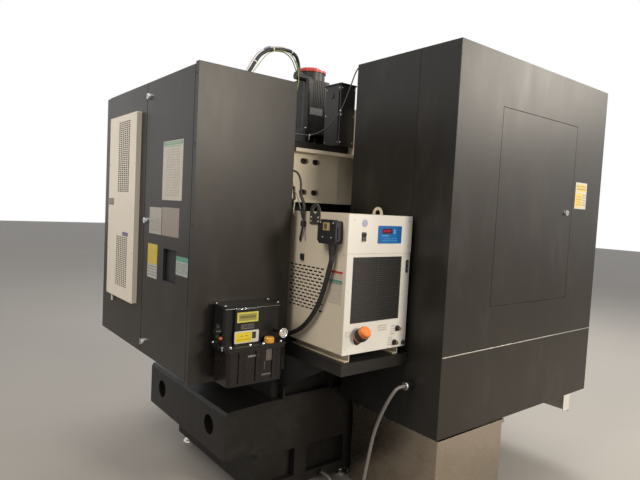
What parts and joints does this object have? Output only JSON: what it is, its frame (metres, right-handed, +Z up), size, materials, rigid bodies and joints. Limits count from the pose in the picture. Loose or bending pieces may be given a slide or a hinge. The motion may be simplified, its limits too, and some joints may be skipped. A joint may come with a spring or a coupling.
{
  "type": "cnc machining center",
  "caption": "Vertical cnc machining center with a tall tool magazine guard, a rear electrical cabinet with a cooler, a spindle chiller, a lubricator and a coolant tank.",
  "frame": {"origin": "on the floor under the middle of the bounding box", "axes": "+Z up, -Y towards the operator's doors, +X to the operator's right; the electrical cabinet is at +Y"},
  "size_m": [2.364, 2.5325, 2.4288],
  "materials": {
    "charcoal_paint": "satin charcoal powder coat",
    "casting_paint": "thick satin paint on cast iron",
    "cream_paint": "satin ivory paint",
    "white_paint": "satin warm white powder coat",
    "ground_steel": "ground and oiled",
    "zinc": "zinc plated",
    "chrome": "bright plated",
    "table_iron": "ground cast iron",
    "motor_black": "semi gloss black paint",
    "red_plastic": "gloss",
    "orange_plastic": "gloss",
    "amber_plastic": "gloss",
    "black_plastic": "fine grained",
    "gloss_black": "gloss",
    "smoke_plastic": "translucent smoke",
    "stainless": "brushed stainless sheet",
    "glass": "laminated safety glass",
    "rubber": "matt cable jacket",
    "grey_conduit": "corrugated grey plastic"
  },
  "bodies": {
    "machine": {"base_casting": "casting_paint", "levelling_feet": "zinc", "column": "casting_paint", "guide_rails": "ground_steel", "y_motor": "motor_black", "z_motor": "motor_black", "motor_cap": "red_plastic", "junction_box": "motor_black", "magazine_bracket": "cream_paint", "changer_drive": "cream_paint", "guard_side": "charcoal_paint", "guard_rear": "charcoal_paint", "enclosure_shell": "charcoal_paint", "front_frame": "white_paint", "operator_panel": "charcoal_paint", "cabinet_shell": "charcoal_paint", "drive_rack": "zinc", "lube_pump": "gloss_black", "lube_tank": "smoke_plastic", "chiller_body": "cream_paint", "chiller_front": "cream_paint", "chiller_plug": "black_plastic", "plug_cable": "rubber", "chiller_shelf": "charcoal_paint", "coolant_tank": "stainless", "conduit": "grey_conduit", "motor_cable": "rubber", "sensor_cable": "rubber"},
    "y_screw": {"y_screw": "ground_steel"},
    "saddle": {"saddle": "casting_paint", "x_rails": "ground_steel", "x_motor": "motor_black"},
    "x_screw": {"x_screw": "ground_steel"},
    "table": {"work_table": "table_iron"},
    "z_screw": {"z_screw": "ground_steel"},
    "head": {"spindle_head": "white_paint", "spindle_motor": "motor_black"},
    "spindle": {"spindle": "ground_steel"},
    "magazine": {"magazine_disc": "table_iron"},
    "exchange_pot": {"exchange_pot": "table_iron"},
    "arm_shaft": {"arm_shaft": "ground_steel"},
    "change_arm": {"change_arm": "ground_steel"},
    "guard_door": {"guard_door": "charcoal_paint"},
    "guard_lock": {"guard_lock": "chrome"},
    "front_door_left": {"front_door_left": "white_paint", "door_window_left": "glass"},
    "front_door_right": {"front_door_right": "white_paint", "door_window_right": "glass"},
    "stop_button": {"stop_button": "red_plastic"},
    "handwheel": {"handwheel": "black_plastic"},
    "mode_knob": {"mode_knob": "black_plastic"},
    "plain_door": {"plain_door": "charcoal_paint"},
    "cooler_door": {"cooler_door": "charcoal_paint", "cooler": "cream_paint"},
    "cabinet_lock_low": {"cabinet_lock_low": "chrome"},
    "cabinet_lock_middle": {"cabinet_lock_middle": "chrome"},
    "cabinet_lock_top": {"cabinet_lock_top": "chrome"},
    "lube_cap": {"lube_cap": "amber_plastic"},
    "chiller_switch": {"chiller_switch": "black_plastic"},
    "chiller_cap": {"chiller_cap": "orange_plastic"}
  },
  "joints": [
    {"name": "y_slide", "type": "slide", "parent": "machine", "child": "saddle", "axis": [0, 1, 0], "range_m": [-0.255, 0.255]},
    {"name": "y_screw_turn", "type": "hinge", "parent": "machine", "child": "y_screw", "pos_m": [0, 0, 0.515], "axis": [0, 1, 0], "range_deg": [-7654.8, 7654.8]},
    {"name": "x_slide", "type": "slide", "parent": "saddle", "child": "table", "axis": [1, 0, 0], "range_m": [-0.445, 0.445]},
    {"name": "x_screw_turn", "type": "hinge", "parent": "saddle", "child": "x_screw", "pos_m": [0, -0.4, 0.672], "axis": [1, 0, 0], "range_deg": [-13357.7, 13357.7]},
    {"name": "z_slide", "type": "slide", "parent": "machine", "child": "head", "axis": [0, 0, 1], "range_m": [-0.31, 0.17]},
    {"name": "z_screw_turn", "type": "hinge", "parent": "machine", "child": "z_screw", "pos_m": [0, 0.225, 1.2], "axis": [0, 0, 1], "range_deg": [-9305.6, 5103.5]},
    {"name": "spindle_turn", "type": "hinge", "parent": "head", "child": "spindle", "pos_m": [0, -0.4, 1.235], "axis": [0, 0, 1], "continuous": true},
    {"name": "magazine_turn", "type": "hinge", "parent": "machine", "child": "magazine", "pos_m": [-0.515, -0.4, 1.64], "axis": [1, 0, 0], "continuous": true},
    {"name": "pot_flip", "type": "hinge", "parent": "magazine", "child": "exchange_pot", "pos_m": [-0.56, -0.4, 1.34], "axis": [0, -1, 0], "range_deg": [0, 90]},
    {"name": "arm_drop", "type": "slide", "parent": "machine", "child": "arm_shaft", "axis": [0, 0, -1], "range_m": [0, 0.115]},
    {"name": "arm_swing", "type": "hinge", "parent": "arm_shaft", "child": "change_arm", "pos_m": [-0.28, -0.4, 1.215], "axis": [0, 0, 1], "range_deg": [0, 270]},
    {"name": "guard_door_swing", "type": "hinge", "parent": "machine", "child": "guard_door", "pos_m": [-1.169, -0.0635, 1.574], "axis": [0, 0, -1], "range_deg": [0, 120]},
    {"name": "guard_lock_turn", "type": "hinge", "parent": "guard_door", "child": "guard_lock", "pos_m": [-1.17, -0.725, 1.572], "axis": [-1, 0, 0], "range_deg": [0, 90]},
    {"name": "front_door_left_slide", "type": "slide", "parent": "machine", "child": "front_door_left", "axis": [-1, 0, 0], "range_m": [0, 0.48]},
    {"name": "front_door_right_slide", "type": "slide", "parent": "machine", "child": "front_door_right", "axis": [1, 0, 0], "range_m": [0, 0.48]},
    {"name": "stop_press", "type": "slide", "parent": "machine", "child": "stop_button", "axis": [0, 1, 0], "range_m": [0, 0.004], "stiffness_N_per_m": 1500, "springref_m": -0.002},
    {"name": "handwheel_turn", "type": "hinge", "parent": "machine", "child": "handwheel", "pos_m": [0.98, -1.255, 1.14], "axis": [0, 1, 0], "continuous": true},
    {"name": "mode_turn", "type": "hinge", "parent": "machine", "child": "mode_knob", "pos_m": [0.83, -1.255, 1.14], "axis": [0, 1, 0], "range_deg": [-60, 60]},
    {"name": "plain_door_swing", "type": "hinge", "parent": "machine", "child": "plain_door", "pos_m": [-0.567, 1.2405, 1.4], "axis": [0, 0, 1], "range_deg": [0, 110]},
    {"name": "cooler_door_swing", "type": "hinge", "parent": "machine", "child": "cooler_door", "pos_m": [0.6015, 1.2405, 1.4], "axis": [0, 0, -1], "range_deg": [0, 110]},
    {"name": "cabinet_lock_low_turn", "type": "hinge", "parent": "plain_door", "child": "cabinet_lock_low", "pos_m": [-0.064, 1.2265, 0.82], "axis": [0, -1, 0], "range_deg": [0, 90]},
    {"name": "cabinet_lock_middle_turn", "type": "hinge", "parent": "plain_door", "child": "cabinet_lock_middle", "pos_m": [-0.064, 1.2265, 1.426], "axis": [0, -1, 0], "range_deg": [0, 90]},
    {"name": "cabinet_lock_top_turn", "type": "hinge", "parent": "plain_door", "child": "cabinet_lock_top", "pos_m": [-0.064, 1.2265, 2.03], "axis": [0, -1, 0], "range_deg": [0, 90]},
    {"name": "lube_cap_turn", "type": "hinge", "parent": "machine", "child": "lube_cap", "pos_m": [-0.73, 0.925, 0.932], "axis": [0, 0, 1], "range_deg": [0, 120]},
    {"name": "chiller_switch_tip", "type": "hinge", "parent": "machine", "child": "chiller_switch", "pos_m": [-0.963, 0.614, 1.414], "axis": [0, 1, 0], "range_deg": [0, 14]},
    {"name": "chiller_cap_turn", "type": "hinge", "parent": "machine", "child": "chiller_cap", "pos_m": [-0.967, 0.619, 0.965], "axis": [-0.766, 0, 0.6428], "range_deg": [0, 120]}
  ],
  "couplings": [
    {"joint": "x_screw_turn", "follows": "x_slide", "rad_per_m": 523.6},
    {"joint": "y_screw_turn", "follows": "y_slide", "rad_per_m": 523.6},
    {"joint": "z_screw_turn", "follows": "z_slide", "rad_per_m": 523.6}
  ]
}
